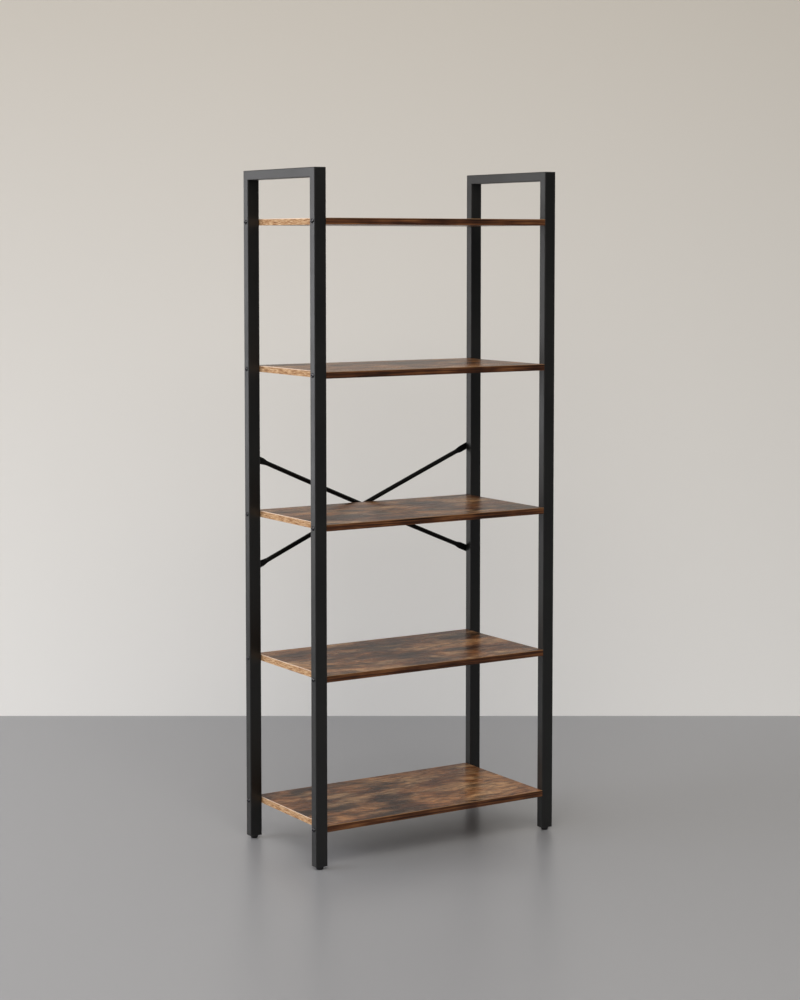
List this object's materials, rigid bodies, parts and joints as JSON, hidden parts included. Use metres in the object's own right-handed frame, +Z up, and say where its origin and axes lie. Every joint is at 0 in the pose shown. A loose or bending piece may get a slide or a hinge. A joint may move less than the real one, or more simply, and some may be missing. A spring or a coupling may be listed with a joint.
{
  "type": "industrial bookcase",
  "caption": "Tall open bookcase: rustic brown boards bolted between two black steel tube side frames, with crossed braces at the back and small levelling feet.",
  "frame": {"origin": "on the floor under the middle of the bookcase's bounding box", "axes": "+Z up, X across the width, the open front faces -Y and the crossed braces are at +Y"},
  "size_m": [0.6664, 0.3545, 1.585],
  "materials": {
    "frame_powder_coat": "satin black powder coat on steel tube",
    "brace_powder_coat": "satin black powder coat on slim round tube",
    "shelf_laminate": "rustic brown plank laminate on chipboard, bare chipboard at the ends",
    "edge_band": "dark brown wood-grain edge band",
    "black_bolt": "black oxide steel",
    "zinc_steel": "bright zinc plate",
    "plug_nylon": "moulded black nylon",
    "foot_plastic": "moulded black plastic"
  },
  "bodies": {
    "bookcase": {"brace_nuts": "zinc_steel", "brace_rising_left": "brace_powder_coat", "brace_rising_right": "brace_powder_coat", "brace_screws": "black_bolt", "left_front_end_plug": "plug_nylon", "left_front_post": "frame_powder_coat", "left_rear_end_plug": "plug_nylon", "left_rear_post": "frame_powder_coat", "left_top_rail": "frame_powder_coat", "plug_nuts": "zinc_steel", "right_front_end_plug": "plug_nylon", "right_front_post": "frame_powder_coat", "right_rear_end_plug": "plug_nylon", "right_rear_post": "frame_powder_coat", "right_top_rail": "frame_powder_coat", "shelf_1_board": "shelf_laminate", "shelf_1_bolts": "black_bolt", "shelf_1_front_band": "edge_band", "shelf_1_inserts": "zinc_steel", "shelf_1_rear_band": "edge_band", "shelf_2_board": "shelf_laminate", "shelf_2_bolts": "black_bolt", "shelf_2_front_band": "edge_band", "shelf_2_inserts": "zinc_steel", "shelf_2_rear_band": "edge_band", "shelf_3_board": "shelf_laminate", "shelf_3_bolts": "black_bolt", "shelf_3_front_band": "edge_band", "shelf_3_inserts": "zinc_steel", "shelf_3_rear_band": "edge_band", "shelf_4_board": "shelf_laminate", "shelf_4_bolts": "black_bolt", "shelf_4_front_band": "edge_band", "shelf_4_inserts": "zinc_steel", "shelf_4_rear_band": "edge_band", "shelf_5_board": "shelf_laminate", "shelf_5_bolts": "black_bolt", "shelf_5_front_band": "edge_band", "shelf_5_inserts": "zinc_steel", "shelf_5_rear_band": "edge_band"},
    "left_front_leveller": {"left_front_foot": "foot_plastic", "left_front_foot_stud": "zinc_steel"},
    "left_rear_leveller": {"left_rear_foot": "foot_plastic", "left_rear_foot_stud": "zinc_steel"},
    "right_front_leveller": {"right_front_foot": "foot_plastic", "right_front_foot_stud": "zinc_steel"},
    "right_rear_leveller": {"right_rear_foot": "foot_plastic", "right_rear_foot_stud": "zinc_steel"}
  },
  "joints": [
    {"name": "left_front_foot_screw", "type": "slide", "parent": "bookcase", "child": "left_front_leveller", "axis": [0, 0, -1], "range_m": [0, 0.01]},
    {"name": "left_rear_foot_screw", "type": "slide", "parent": "bookcase", "child": "left_rear_leveller", "axis": [0, 0, -1], "range_m": [0, 0.01]},
    {"name": "right_front_foot_screw", "type": "slide", "parent": "bookcase", "child": "right_front_leveller", "axis": [0, 0, -1], "range_m": [0, 0.01]},
    {"name": "right_rear_foot_screw", "type": "slide", "parent": "bookcase", "child": "right_rear_leveller", "axis": [0, 0, -1], "range_m": [0, 0.01]}
  ]
}
